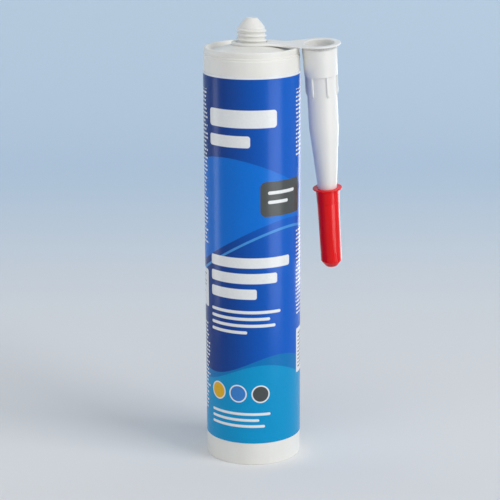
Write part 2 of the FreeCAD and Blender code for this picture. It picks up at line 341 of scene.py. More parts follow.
def noise(tree, place, scale, detail, **values):
    """Value of a noise texture."""
    node = add_node(tree, "ShaderNodeTexNoise", Vector=place, Scale=scale, Detail=detail, **values)
    return node.outputs["Fac"]


def new_group(name, inputs, outputs):
    """(group, its input node, its output node). Sockets are given as {name: (kind, default)}."""
    group = bpy.data.node_groups.new(name, "ShaderNodeTree")
    sockets = group.interface
    for label, (kind, value) in inputs.items():
        socket = sockets.new_socket(label, in_out="INPUT", socket_type="NodeSocket" + kind)
        socket.default_value = value
    for label, kind in outputs.items():
        sockets.new_socket(label, in_out="OUTPUT", socket_type="NodeSocket" + kind)
    return group, group.nodes.new("NodeGroupInput"), group.nodes.new("NodeGroupOutput")


# %% Moulded skin group
skin_group, skin_in, skin_out = new_group(
    "moulded_skin",
    {
        "Place": ("Vector", (0.0, 0.0, 0.0)),
        "Deep Colour": ("Color", (0.7, 0.7, 0.7, 1.0)),
        "Pale Colour": ("Color", (0.9, 0.9, 0.9, 1.0)),
        "Grain Scale": ("Float", 2500.0),
        "Streak Scale": ("Float", 60.0),
        "Roughness": ("Float", 0.4),
        "Roughness Spread": ("Float", 0.1),
    },
    {"Colour": "Color", "Roughness": "Float", "Height": "Float"},
)
STREAK_SHAPE, STREAK_RANGE, STREAK_DULLING = (1.0, 1.0, 0.22), (0.3, 0.7), 0.5
SCUFF_SHAPE, SCUFF_TURN, SCUFF_RANGE = (1.0, 0.12, 1.0), (0.3, 0.9, 0.5), (0.55, 0.85)
SCUFF_SCALE, SCUFF_DEPTH = 420.0, -0.15

skin_place = skin_in.outputs["Place"]
streak_place = add_node(
    skin_group, "ShaderNodeMapping", Vector=skin_place, Scale=STREAK_SHAPE
).outputs[0]
streaks = noise(skin_group, streak_place, skin_in.outputs["Streak Scale"], 3.0, Roughness=0.55)
streak_share = ranged(skin_group, streaks, *STREAK_RANGE)
skin_colour = mixed(
    skin_group, streak_share, skin_in.outputs["Deep Colour"], skin_in.outputs["Pale Colour"]
)
grain = noise(skin_group, skin_place, skin_in.outputs["Grain Scale"], 2.0, Roughness=0.6)
scuff_place = add_node(
    skin_group, "ShaderNodeMapping", Vector=skin_place, Rotation=SCUFF_TURN, Scale=SCUFF_SHAPE
).outputs[0]
scuffs = noise(skin_group, scuff_place, SCUFF_SCALE, 4.0, Roughness=0.6)
scuff_share = ranged(skin_group, scuffs, *SCUFF_RANGE)
streak_rough = maths(skin_group, "MULTIPLY", streak_share, STREAK_DULLING)
skin_rough = maths(
    skin_group, "MULTIPLY_ADD", maths(skin_group, "ADD", scuff_share, streak_rough),
    skin_in.outputs["Roughness Spread"], skin_in.outputs["Roughness"],
)
skin_height = maths(skin_group, "MULTIPLY_ADD", scuff_share, SCUFF_DEPTH, grain)
for name, output in (("Colour", skin_colour), ("Roughness", skin_rough), ("Height", skin_height)):
    skin_group.links.new(output, skin_out.inputs[name])
print("group", skin_group.name, "has", len(skin_group.nodes), "nodes")


# %% Plastics
def dress(tree, shader, tint, roughness, bump, **values):
    """Feeds a shader's colour, roughness and bump, and sets plain values on its other sockets."""
    normal = bump.outputs["Normal"]
    for name, output in (("Base Color", tint), ("Roughness", roughness), ("Normal", normal)):
        tree.links.new(output, shader.inputs[name])
    set_plain(shader, **values)


def plastic(name, deep, pale, roughness, spread, grain_scale, bump_depth, **shader_values):
    """Moulded plastic: the skin group feeds colour, roughness and bump; the rest is plain values."""
    material, tree, shader = new_material(name)
    place = add_node(tree, "ShaderNodeTexCoord").outputs["Object"]
    skin = add_node(
        tree, "ShaderNodeGroup", {"node_tree": skin_group}, Place=place, Deep_Colour=deep,
        Pale_Colour=pale, Grain_Scale=grain_scale, Roughness=roughness, Roughness_Spread=spread,
    )
    bump = add_node(
        tree, "ShaderNodeBump", Height=skin.outputs["Height"], Strength=0.5, Distance=bump_depth
    )
    dress(tree, shader, skin.outputs["Colour"], skin.outputs["Roughness"], bump, **shader_values)
    return material


barrel_plastic = plastic(
    "white_barrel_plastic", colour(234, 232, 225), colour(242, 241, 236), roughness=0.38, spread=0.12,
    grain_scale=2600.0, bump_depth=0.00002, Subsurface_Weight=0.25,
    Subsurface_Radius=(1.0, 0.9, 0.8), Subsurface_Scale=0.0015, IOR=1.5, Specular_IOR_Level=0.25,
)
nozzle_plastic = plastic(
    "white_nozzle_plastic", colour(237, 235, 230), colour(243, 242, 238), roughness=0.33, spread=0.12,
    grain_scale=2200.0, bump_depth=0.000015, Subsurface_Weight=0.35,
    Subsurface_Radius=(1.0, 0.95, 0.88), Subsurface_Scale=0.0015, IOR=1.5, Specular_IOR_Level=0.25,
)
cap_plastic = plastic(
    "red_cap_plastic", colour(232, 5, 12), colour(246, 12, 18), roughness=0.14, spread=0.08,
    grain_scale=2000.0, bump_depth=0.000003, Subsurface_Weight=0.15,
    Subsurface_Radius=(1.0, 0.12, 0.08), Subsurface_Scale=0.001, IOR=1.5, Specular_IOR_Level=0.25,
)
piston_plastic = plastic(
    "natural_piston_plastic", colour(214, 218, 216), colour(226, 229, 226), roughness=0.4,
    spread=0.15, grain_scale=1800.0, bump_depth=0.00002, Subsurface_Weight=0.4,
    Subsurface_Radius=(1.0, 0.95, 0.9), Subsurface_Scale=0.002, IOR=1.5,
)
print("plastics", [m.name for m in bpy.data.materials])

# %% [markdown]
# ## The barrel
#
# One moulding: a long tube, open at the foot, then a shallow shoulder, a groove, a rim, a coned head
# inside the rim and the closed spout. All of it is turned from one section, so the wall stays a wall
# and the foot is truly open.

# %% Barrel
BARREL_HEIGHT, BARREL_RADIUS, BORE_RADIUS, FOOT_CHAMFER = 216.0, 24.5, 23.3, 0.5
SHOULDER_Z, SHOULDER_TOP, SHOULDER_RADIUS, LEDGE_Z, LEDGE_RADIUS = 211.35, 211.8, 24.15, 212.7, 24.2
GROOVE_Z, GROOVE_RADIUS, RIM_BELLY_Z, RIM_RADIUS, RIM_INNER = 213.0, 23.8, 214.9, 24.1, 22.9
RECESS_Z, RECESS_RADIUS, SEAT_Z, SEAT_RADIUS = 213.2, 21.8, 217.35, 9.0
SPOUT_FOOT, FOOT_HEIGHT, SPOUT_ROOT, SPOUT_BORE, SPOUT_INNER_BASE = 7.4, 0.8, 6.6, 5.4, 216.136
CONE_BASE, SPOUT_TOP, TIP_DENT, TIP_WALL, TIP_BORE_RADIUS = 225.6, 230.3, 0.2, 1.3, 1.9
CHARGE_TOP, FOOT_TOP = 210.401, 1.0

barrel_section = [
    # Foot, outer wall, shoulder, ledge, groove and rim.
    (BORE_RADIUS, FOOT_CHAMFER), (BORE_RADIUS + FOOT_CHAMFER, 0.0, 0.08), (BARREL_RADIUS, 0.0, 0.35),
    (BARREL_RADIUS, SHOULDER_Z, 0.2), (SHOULDER_RADIUS, SHOULDER_TOP, 0.15),
    (LEDGE_RADIUS, LEDGE_Z, 0.1), (GROOVE_RADIUS, GROOVE_Z, 0.12), (RIM_RADIUS, RIM_BELLY_Z, 0.8),
    (RIM_RADIUS, BARREL_HEIGHT, 0.5), (RIM_INNER, BARREL_HEIGHT, 0.35),
    # Recess, coned head, seat ring and the spout with its foot ring, dome and dented tip.
    (RECESS_RADIUS, RECESS_Z, 0.6), (SEAT_RADIUS, SEAT_Z, 0.5), (SPOUT_FOOT, SEAT_Z, 0.15),
    (SPOUT_FOOT, SEAT_Z + FOOT_HEIGHT, 0.25), (SPOUT_ROOT, SEAT_Z + FOOT_TOP, 0.2),
    (SPOUT_ROOT, CONE_BASE, 0.6), (5.1, 227.8, 4.0), (3.2, 229.8, 0.4), (2.85, SPOUT_TOP, 0.3),
    (1.3, SPOUT_TOP, 0.15), (1.0, SPOUT_TOP - TIP_DENT, 0.15), (0.0, SPOUT_TOP - TIP_DENT),
    # Inside of the spout, the head and the bore.
    (0.0, SPOUT_TOP - TIP_WALL), (TIP_BORE_RADIUS, SPOUT_TOP - TIP_WALL), (SPOUT_BORE, CONE_BASE),
    (SPOUT_BORE, SPOUT_INNER_BASE), (BORE_RADIUS, CHARGE_TOP),
]
barrel = turned("barrel_moulding", barrel_section, barrel_plastic, segments=256)
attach(barrel, "barrel")
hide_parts("barrel")

# %% [markdown]
# ## A thread as a swept ridge
#
# The nozzle screws on a coarse thread. A thread follows a rule, so Geometry Nodes make it: a spiral
# curve, a four-sided profile with rounded corners swept along it, and a scale that shrinks it at both
# ends so that the ridge fades into the wall. The same tree later makes the socket's thread.

# %% Geometry Nodes helpers
def new_tree(name, inputs):
    """(tree, input node, output node) of a Geometry Nodes tree with named inputs."""
    tree = bpy.data.node_groups.new(name, "GeometryNodeTree")
    tree.interface.new_socket("Geometry", in_out="INPUT", socket_type="NodeSocketGeometry")
    for socket_name, kind in inputs.items():
        tree.interface.new_socket(socket_name, in_out="INPUT", socket_type="NodeSocket" + kind)
    tree.interface.new_socket("Geometry", in_out="OUTPUT", socket_type="NodeSocketGeometry")
    return tree, tree.nodes.new("NodeGroupInput"), tree.nodes.new("NodeGroupOutput")


def end_tree(tree, geometry, material_socket, output_node):
    """Ends a tree in Realize Instances and Set Material."""
    real = add_node(tree, "GeometryNodeRealizeInstances", Geometry=geometry)
    painted = add_node(
        tree, "GeometryNodeSetMaterial", Geometry=real.outputs[0], Material=material_socket
    )
    tree.links.new(painted.outputs[0], output_node.inputs[0])


def grown(name, start_mesh, tree, values, frame_in_mm=Matrix.Identity(4)):
    """Plain mesh piece, in metres, from a start mesh in millimetres and a tree with these values."""
    holder = bpy.data.objects.new(name, start_mesh)
    scene.collection.objects.link(holder)
    modifier = holder.modifiers.new(name, "NODES")
    modifier.node_group = tree
    for socket in tree.interface.items_tree:
        if socket.in_out == "INPUT" and socket.name in values:
            modifier[socket.identifier] = values[socket.name]
    bpy.context.view_layer.update()
    evaluated = holder.evaluated_get(bpy.context.evaluated_depsgraph_get())
    mesh = bpy.data.meshes.new_from_object(evaluated)
    holder.modifiers.remove(modifier)
    mesh.transform(Matrix.Scale(MM, 4) @ frame_in_mm)
    mesh.shade_smooth()
    mesh.set_sharp_from_angle(angle=SMOOTH_BELOW)
    holder.data = mesh
    mesh.name = name
    print(name, "grew to", len(mesh.polygons), "faces")
    return holder


# %% Spiral ridge tree
THREAD_PITCH, RIDGE_STEPS, THINNEST_END = 2.4, 64, 0.12
FACING_OUT, FACING_IN = math.radians(90), math.radians(-90)

ridge_tree, ridge_in, ridge_out = new_tree("spiral_ridge", {
    "Turns": "Float", "Radius": "Float", "Rise": "Float", "Ridge Height": "Float",
    "Root Width": "Float", "Crest Width": "Float", "Corner Round": "Float", "Fade": "Float",
    "Facing": "Float", "Material": "Material",
})
spiral = add_node(
    ridge_tree, "GeometryNodeCurveSpiral", Resolution=RIDGE_STEPS, Rotations=ridge_in.outputs["Turns"],
    Start_Radius=ridge_in.outputs["Radius"], End_Radius=ridge_in.outputs["Radius"],
    Height=ridge_in.outputs["Rise"],
)
upright = add_node(
    ridge_tree, "GeometryNodeSetCurveNormal", {"mode": "Z_UP"}, Curve=spiral.outputs[0]
)
along = add_node(ridge_tree, "GeometryNodeSplineParameter").outputs["Factor"]
from_ends = maths(ridge_tree, "MINIMUM", along, maths(ridge_tree, "SUBTRACT", 1.0, along))
fade = ranged(
    ridge_tree, from_ends, 0.0, ridge_in.outputs["Fade"], soft=True, To_Min=THINNEST_END
)
profile = add_node(
    ridge_tree, "GeometryNodeCurvePrimitiveQuadrilateral", {"mode": "TRAPEZOID"},
    Height=ridge_in.outputs["Ridge Height"], Bottom_Width=ridge_in.outputs["Root Width"],
    Top_Width=ridge_in.outputs["Crest Width"], Offset=0.0,
)
soft_profile = add_node(
    ridge_tree, "GeometryNodeFilletCurve", {"mode": "POLY"}, Curve=profile.outputs[0], Count=3,
    Radius=ridge_in.outputs["Corner Round"],
)
facing = add_node(ridge_tree, "ShaderNodeCombineXYZ", Z=ridge_in.outputs["Facing"])
turned_profile = add_node(
    ridge_tree, "GeometryNodeTransform", Geometry=soft_profile.outputs[0], Rotation=facing.outputs[0]
)
swept = add_node(
    ridge_tree, "GeometryNodeCurveToMesh", Curve=upright.outputs[0],
    Profile_Curve=turned_profile.outputs[0], Scale=fade, Fill_Caps=True,
)
end_tree(ridge_tree, swept.outputs[0], ridge_in.outputs["Material"], ridge_out)

# %% Spout thread
THREAD_TURNS, THREAD_END_BEARING, THREAD_START_Z = 3.1, 210.0, 217.71
CREST_REACH, RIDGE_SUNK = 7.5, 0.35

thread_base = Matrix.Translation((0, 0, THREAD_START_Z)) @ Matrix.Rotation(
    math.radians(THREAD_END_BEARING - 360 * THREAD_TURNS), 4, "Z"
)
spout_thread = grown("spout_thread", bpy.data.meshes.new("spout_thread"), ridge_tree, {
    "Turns": THREAD_TURNS, "Radius": (CREST_REACH + SPOUT_ROOT - RIDGE_SUNK) / 2,
    "Rise": THREAD_TURNS * THREAD_PITCH, "Ridge Height": CREST_REACH - SPOUT_ROOT + RIDGE_SUNK,
    "Root Width": 2.05, "Crest Width": 0.55, "Corner Round": 0.12, "Fade": 0.035,
    "Facing": FACING_OUT, "Material": barrel_plastic,
}, thread_base)
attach(spout_thread, "barrel")
thread_reach = max(math.hypot(v.co.x, v.co.y) for v in spout_thread.data.vertices) / MM
print("thread reaches", round(thread_reach, 2), "mm and stands",
      [round(f(v.co.z for v in spout_thread.data.vertices) / MM, 2) for f in (min, max)])

# %% [markdown]
# ## The label
#
# A printed film goes once round the tube and laps over its own start at the back. It is drawn as
# columns round the tube: each has the film's thickness, the lapped ones stand one film further out,
# and a short ramp joins them. Its map runs once round the tube, so the print can be laid out flat in
# millimetres from the middle of the front.

# %% Label film
LABEL_BOTTOM, LABEL_TOP, FILM, FILM_EDGE, FILM_LIFT = 11.9, 204.2, 0.2, 0.05, 0.005
LAP_START, LAP_ANGLE, RAMP_ANGLE, SEAM_GAP = 90.0, 18.56, 4.0, 0.03
COLUMN_STEP, RAMP_COLUMNS, LAP_COLUMNS = 1.5, 6, 10
MAP_START, SEAM_SHARE = -270, 0.0001
film_radius = BARREL_RADIUS + FILM
seam = LAP_START + LAP_ANGLE - 360 + SEAM_GAP

bearings = [seam + i * COLUMN_STEP for i in range(int((360 - LAP_ANGLE) / COLUMN_STEP))]
bearings += [LAP_START - RAMP_ANGLE * (1 - i / RAMP_COLUMNS) for i in range(RAMP_COLUMNS + 1)]
bearings += [LAP_START + LAP_ANGLE * (i + 1) / LAP_COLUMNS for i in range(LAP_COLUMNS)]
bearings = sorted(set(round(bearing, 4) for bearing in bearings))
shares = [(bearing - MAP_START) / 360 for bearing in bearings]
shares.append(shares[-1] + SEAM_SHARE)


def smooth_step(value, start, end):
    """0 before start, 1 after end and a soft rise between them."""
    share = min(max((value - start) / (end - start), 0.0), 1.0)
    return share * share * (3 - 2 * share)


built = bmesh.new()
film_map = built.loops.layers.uv.new("print")
columns = []
for bearing in bearings:
    outer = film_radius + FILM * smooth_step(bearing, LAP_START - RAMP_ANGLE, LAP_START)
    inner = BARREL_RADIUS + FILM_LIFT
    profile_points = [
        (inner, LABEL_BOTTOM), (outer - FILM_EDGE, LABEL_BOTTOM), (outer, LABEL_BOTTOM + FILM_EDGE),
        (outer, LABEL_TOP - FILM_EDGE), (outer - FILM_EDGE, LABEL_TOP), (inner, LABEL_TOP),
    ]
    turn = math.radians(bearing)
    columns.append([
        built.verts.new((r * math.cos(turn), r * math.sin(turn), z)) for r, z in profile_points
    ])

for index, column in enumerate(columns):
    after = columns[(index + 1) % len(columns)]
    for low_corner in range(len(column)):
        high_corner = (low_corner + 1) % len(column)
        share_at = {column[low_corner]: shares[index], column[high_corner]: shares[index],
                    after[low_corner]: shares[index + 1], after[high_corner]: shares[index + 1]}
        corners = (column[low_corner], after[low_corner], after[high_corner], column[high_corner])
        for loop in built.faces.new(corners).loops:
            height = (loop.vert.co.z - LABEL_BOTTOM) / (LABEL_TOP - LABEL_BOTTOM)
            loop[film_map].uv = (share_at[loop.vert], height)
print("label film has", len(columns), "columns")

# %% [markdown]
# ## The print
#
# The label's design is a plain one of its own: deep blue with a lighter wave, a sea-blue foot,
# bars where copy would stand and three dots. Under all of it the blue carries painted shade: it
# darkens to navy towards the left side and the back. Every mark is either a field with a wavy edge
# or a bar with round ends, so two small node groups draw them all, in millimetres on the flat label.

# %% Print groups
PRINT_EDGE = 0.08


def inside_edge(tree, gap):
    """1 where a gap to an edge is below nothing, with the slightly soft edge that print has."""
    return ranged(tree, gap, PRINT_EDGE, -PRINT_EDGE)


bar_group, bar_in, bar_out = new_group(
    "round_bar",
    {
        "Place": ("Vector", (0.0, 0.0, 0.0)), "Across": ("Float", 0.0), "Up": ("Float", 0.0),
        "Half Width": ("Float", 5.0), "Half Height": ("Float", 2.0), "Corner": ("Float", 1.0),
    },
    {"Mask": "Float"},
)
bar_maths = partial(maths, bar_group)
split = add_node(bar_group, "ShaderNodeSeparateXYZ", Vector=bar_in.outputs["Place"])
outside = []
for axis, middle, half in ((0, "Across", "Half Width"), (1, "Up", "Half Height")):
    away = bar_maths("ABSOLUTE", bar_maths("SUBTRACT", split.outputs[axis], bar_in.outputs[middle]))
    reach = bar_maths("SUBTRACT", bar_in.outputs[half], bar_in.outputs["Corner"])
    outside.append(bar_maths("SUBTRACT", away, reach))
beyond = [bar_maths("MAXIMUM", side, 0.0) for side in outside]
beyond_up = bar_maths("MULTIPLY", beyond[1], beyond[1])
corner_gap = bar_maths("SQRT", bar_maths("MULTIPLY_ADD", beyond[0], beyond[0], beyond_up))
inside_gap = bar_maths("MINIMUM", bar_maths("MAXIMUM", outside[0], outside[1]), 0.0)
gap = bar_maths("SUBTRACT", bar_maths("ADD", corner_gap, inside_gap), bar_in.outputs["Corner"])
bar_group.links.new(inside_edge(bar_group, gap), bar_out.inputs["Mask"])

wave_group, wave_in, wave_out = new_group(
    "wavy_edge",
    {
        "Place": ("Vector", (0.0, 0.0, 0.0)), "Height": ("Float", 50.0), "Swing": ("Float", 5.0),
        "Waves Round": ("Float", 1.0), "Shift": ("Float", 0.0),
    },
    {"Below": "Float", "Gap": "Float"},
)
ROUND_TUBE = 2 * math.pi * film_radius
wave_maths = partial(maths, wave_group)
split = add_node(wave_group, "ShaderNodeSeparateXYZ", Vector=wave_in.outputs["Place"])
turn_share = wave_maths("MULTIPLY", split.outputs[0], 2 * math.pi / ROUND_TUBE)
phase = wave_maths(
    "MULTIPLY_ADD", turn_share, wave_in.outputs["Waves Round"], wave_in.outputs["Shift"]
)
edge_height = wave_maths(
    "MULTIPLY_ADD", wave_maths("SINE", phase), wave_in.outputs["Swing"], wave_in.outputs["Height"]
)
gap = wave_maths("SUBTRACT", split.outputs[1], edge_height)
wave_group.links.new(inside_edge(wave_group, gap), wave_out.inputs["Below"])
wave_group.links.new(gap, wave_out.inputs["Gap"])
print("print groups", bar_group.name, "and", wave_group.name)

# %% Label material
label_material, label_tree, label_shader = new_material("printed_film")
label_map = add_node(label_tree, "ShaderNodeUVMap", {"uv_map": "print"}).outputs[0]
flat_place = add_node(
    label_tree, "ShaderNodeMapping", Vector=label_map, Location=(-ROUND_TUBE / 2, 0.0, 0.0),
    Scale=(ROUND_TUBE, LABEL_TOP - LABEL_BOTTOM, 1.0),
).outputs[0]


def printed(group, **values):
    """Node of a print group, placed on the flat label."""
    return add_node(label_tree, "ShaderNodeGroup", {"node_tree": group}, Place=flat_place, **values)


def bar(across, up, width, height, corner=None):
    """Mask of a bar with round ends, placed by its left end and its middle height."""
    return printed(
        bar_group, Across=across + width / 2, Up=up, Half_Width=width / 2, Half_Height=height / 2,
        Corner=height / 2 if corner is None else corner,
    ).outputs["Mask"]


def wave(height, swing, waves_round, shift):
    """Node of a wavy edge. Its height and swing are in millimetres, its shift in radians."""
    return printed(wave_group, Height=height, Swing=swing, Waves_Round=waves_round, Shift=shift)


def either(draw, rows):
    """One mask of several marks: draw makes each of them from a row of its values."""
    masks = [draw(*row) for row in rows]
    joined = masks[0]
    for mask in masks[1:]:
        joined = maths(label_tree, "MAXIMUM", joined, mask)
    return joined


# %% Inks and wavy fields
# The first colour here is painted shade: a darker copy of the ground blue that the label has on its
# left side and back, where less light falls.
PAINTED_SHADE_NAVY, GROUND, LIGHT_BLUE = colour(4, 52, 128), colour(0, 94, 198), colour(0, 112, 212)
PALE_BLUE, SEA_BLUE, DEEP_SEA = colour(70, 150, 220), colour(0, 150, 205), colour(0, 118, 186)
WHITE_INK, GREY_INK = colour(236, 238, 238), colour(78, 82, 82)
SUN_INK, DOT_BLUE = colour(232, 180, 40), colour(60, 130, 205)

RIBBON_TOP, RIBBON_BASE = (138.0, 13.0, 1.0, 2.2), (104.0, 15.0, 1.0, 0.7)
RIBBON_LINE, LINE_RANGE = (99.5, 15.0, 1.0, 0.7), (0.75, 0.6)
DEEP_SWELL, FRONT_SWELL = (42.0, 5.5, 2.0, 0.4), (37.0, 5.5, 2.0, 1.1)
# Painted shade: the ground blue fades in from the navy between these two places across the flat label,
# in millimetres from the front's middle.
PAINTED_SHADE_FADE = (-30.0, 22.0)

above_base = maths(label_tree, "SUBTRACT", 1.0, wave(*RIBBON_BASE).outputs["Below"])
in_ribbon = maths(label_tree, "MULTIPLY", wave(*RIBBON_TOP).outputs["Below"], above_base)
near_line = maths(label_tree, "ABSOLUTE", wave(*RIBBON_LINE).outputs["Gap"])
flat_across = add_node(label_tree, "ShaderNodeSeparateXYZ", Vector=flat_place).outputs[0]

# The layers of ink, each with its mask, from the film outwards. The first is painted shade: the
# navy gives way to the lit ground blue from left to right across the front.
layers = [
    (ranged(label_tree, flat_across, *PAINTED_SHADE_FADE, soft=True), GROUND),
    (in_ribbon, LIGHT_BLUE),
    (ranged(label_tree, near_line, *LINE_RANGE), PALE_BLUE),
    (wave(*DEEP_SWELL).outputs["Below"], DEEP_SEA),
    (wave(*FRONT_SWELL).outputs["Below"], SEA_BLUE),
]

# %% Copy bars
# A bar's row: left end, middle height, width, height and, where its ends aren't round, its corner.
COPY_LEFT = -25.0
white_bars = [(COPY_LEFT, 171, 38, 9.0, 1.8), (COPY_LEFT, 159.5, 24, 6.0, 1.4)]
for up, width in ((97, 46), (88.8, 38), (80.6, 27)):
    white_bars.append((COPY_LEFT, up, width, 5.4, 1.2))
for top, pitch, height, widths in ((71.0, 3.6, 1.6, (40, 34, 37, 22)), (16.0, 3.3, 1.4, (34, 28, 31))):
    for number, width in enumerate(widths):
        white_bars.append((COPY_LEFT, top - pitch * number, width, height))
layers.append((either(bar, white_bars), WHITE_INK))

BADGE, BADGE_LINES = (4, 130, 27, 18, 3.0), ((8, 133.2, 17, 1.7), (8, 128.4, 12, 1.7))
layers += [(bar(*BADGE), GREY_INK), (either(bar, BADGE_LINES), WHITE_INK)]

DOT_UP, DOT_STEP, DOT_SIZE, DOT_RING, DOT_INKED = 27.0, 12.0, 9.6, 0.7, 8.2
for number, ink in enumerate((SUN_INK, DOT_BLUE, GREY_INK)):
    across = COPY_LEFT + DOT_STEP * number
    layers.append((bar(across, DOT_UP, DOT_SIZE, DOT_SIZE), WHITE_INK))
    layers.append((bar(across + DOT_RING, DOT_UP, DOT_INKED, DOT_INKED), ink))
print("label has", len(white_bars), "white bars")

# %% [markdown]
# The sides and the back of such a label carry columns of small print. A column is one mask: rows at
# an even pitch, each as long as a number drawn for that row, so no row has to be placed by hand.

# %% Small print
rows_group, rows_in, rows_out = new_group(
    "small_print",
    {
        "Place": ("Vector", (0.0, 0.0, 0.0)), "Left": ("Float", 0.0), "Width": ("Float", 10.0),
        "Bottom": ("Float", 0.0), "Top": ("Float", 10.0), "Pitch": ("Float", 2.0),
        "Seed": ("Float", 1.0),
    },
    {"Mask": "Float"},
)
WORD_LENGTH, WORD_INKED, WORD_SHIFT, ROW_INKED, SHORTEST_ROW = 3.4, 0.8, 7.0, 0.42, 0.6

rows_maths = partial(maths, rows_group)
split = add_node(rows_group, "ShaderNodeSeparateXYZ", Vector=rows_in.outputs["Place"])
up, rows_bottom = split.outputs[1], rows_in.outputs["Bottom"]
row_at = rows_maths("DIVIDE", rows_maths("SUBTRACT", up, rows_bottom), rows_in.outputs["Pitch"])
row_seed = add_node(
    rows_group, "ShaderNodeCombineXYZ", X=rows_maths("FLOOR", row_at), Y=rows_in.outputs["Seed"]
).outputs[0]
row_draw = add_node(
    rows_group, "ShaderNodeTexWhiteNoise", {"noise_dimensions": "2D"}, Vector=row_seed
).outputs["Value"]
row_share = rows_maths("MULTIPLY_ADD", row_draw, 1 - SHORTEST_ROW, SHORTEST_ROW)
row_length = rows_maths("MULTIPLY", rows_in.outputs["Width"], row_share)
across = rows_maths("SUBTRACT", split.outputs[0], rows_in.outputs["Left"])
word_shift = rows_maths("MULTIPLY", row_draw, WORD_SHIFT)
word_at = rows_maths("MULTIPLY_ADD", across, 1 / WORD_LENGTH, word_shift)
tests = [
    rows_maths("LESS_THAN", rows_maths("FRACT", word_at), WORD_INKED),
    rows_maths("GREATER_THAN", across, 0.0),
    rows_maths("LESS_THAN", across, row_length),
    rows_maths("GREATER_THAN", up, rows_bottom),
    rows_maths("LESS_THAN", up, rows_in.outputs["Top"]),
    rows_maths("LESS_THAN", rows_maths("FRACT", row_at), ROW_INKED),
]
rows_mask = tests[0]
for test in tests[1:]:
    rows_mask = rows_maths("MULTIPLY", rows_mask, test)
rows_group.links.new(rows_mask, rows_out.inputs["Mask"])


def small_print(left, width, bottom, top, pitch, seed):
    """Mask of a block of short rows."""
    return printed(
        rows_group, Left=left, Width=width, Bottom=bottom, Top=top, Pitch=pitch, Seed=seed
    ).outputs["Mask"]


SIDE_ROWS = (
    (27.5, 10, 150, 184, 2.1, 1), (27.5, 10, 66, 112, 2.1, 2), (42, 26, 60, 184, 2.6, 3),
    (-37.5, 9.5, 104, 184, 2.1, 4), (-37.5, 9.5, 14, 62, 2.1, 5), (-70, 26, 92, 184, 2.6, 6),
    (-70, 26, 14, 62, 2.6, 7),
)
PANELS = ((28, 46, 30, 24, 1.0), (-58, 80, 29, 20, 1.0))
PANEL_ROWS = ((30, 26, 36.5, 55.5, 2.0, 8), (-56, 25, 72.5, 88, 2.0, 9))
MARGIN = 1.3
layers += [
    (either(small_print, SIDE_ROWS), WHITE_INK),
    (either(bar, PANELS), WHITE_INK),
    (either(small_print, PANEL_ROWS), GREY_INK),
    (bar(-ROUND_TUBE, LABEL_TOP - LABEL_BOTTOM, 3 * ROUND_TUBE, 2 * MARGIN, 0.0), WHITE_INK),
]
print("label has", len(layers), "layers of ink")

# %% Film finish
# The print starts from the painted-shade navy.
print_colour = PAINTED_SHADE_NAVY
for mask, ink in layers:
    print_colour = mixed(label_tree, mask, print_colour, ink)

label_place = add_node(label_tree, "ShaderNodeTexCoord").outputs["Object"]
ink_noise = noise(label_tree, label_place, 900.0, 2.0)
ink_share = ranged(label_tree, ink_noise, 0.0, 1.0, To_Min=0.93, To_Max=1.05)
ink_depth = add_node(
    label_tree, "ShaderNodeCombineColor", Red=ink_share, Green=ink_share, Blue=ink_share
).outputs[0]
inked = add_node(
    label_tree, "ShaderNodeMix", {"data_type": "RGBA", "blend_type": "MULTIPLY"}, i0=1.0,
    i6=print_colour, i7=ink_depth,
).outputs[2]
film_skin = add_node(
    label_tree, "ShaderNodeGroup", {"node_tree": skin_group}, Place=label_place,
    Grain_Scale=1400.0, Streak_Scale=18.0, Roughness=0.24, Roughness_Spread=0.03,
)
film_bump = add_node(
    label_tree, "ShaderNodeBump", Height=film_skin.outputs["Height"], Strength=0.2, Distance=0.000004
)
dress(label_tree, label_shader, inked, film_skin.outputs["Roughness"], film_bump,
      Specular_IOR_Level=0.2, IOR=1.5)

label = finish_piece("label_film", built, label_material)
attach(label, "barrel")
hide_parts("label")

# %% [markdown]
# ## Sealant and piston
#
# The charge of sealant fills the bore between the head and a cup-shaped piston. A gun's rod pushes
# the piston up, and the paste leaves through the spout. The paste has the wet look of uncured
# sealant; the piston has two soft lips that scrape the wall and thin ribs under its crown.

# %% Sealant
CROWN_Z, PASTE_GAP, PASTE_ROOM = 30.901, 0.05, 0.1

paste, paste_tree, paste_shader = new_material("wet_white_paste")
paste_place = add_node(paste_tree, "ShaderNodeTexCoord").outputs["Object"]
folds = noise(paste_tree, paste_place, 160.0, 4.0, Distortion=0.8)
paste_tint = mixed(paste_tree, folds, colour(226, 226, 220), colour(240, 240, 236))
paste_rough = ranged(paste_tree, folds, 0.0, 1.0, To_Min=0.16, To_Max=0.34)
paste_bump = add_node(paste_tree, "ShaderNodeBump", Height=folds, Strength=0.6, Distance=0.0003)
dress(paste_tree, paste_shader, paste_tint, paste_rough, paste_bump,
      Subsurface_Weight=0.3, Subsurface_Scale=0.002, IOR=1.45)

charge_radius, neck_radius = BORE_RADIUS - PASTE_GAP, SPOUT_BORE - PASTE_GAP
charge_tip = SPOUT_TOP - TIP_WALL - PASTE_GAP
sealant = turned("sealant_charge", [
    (0.0, CROWN_Z), (charge_radius, CROWN_Z, 0.6), (charge_radius, CHARGE_TOP - PASTE_ROOM, 0.4),
    (neck_radius, SPOUT_INNER_BASE - PASTE_ROOM, 0.5), (neck_radius, CONE_BASE, 0.4),
    (TIP_BORE_RADIUS - PASTE_GAP, charge_tip, 0.3), (0.0, charge_tip),
], paste, segments=128)
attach(sealant, "barrel")
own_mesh(sealant)
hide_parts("sealant")

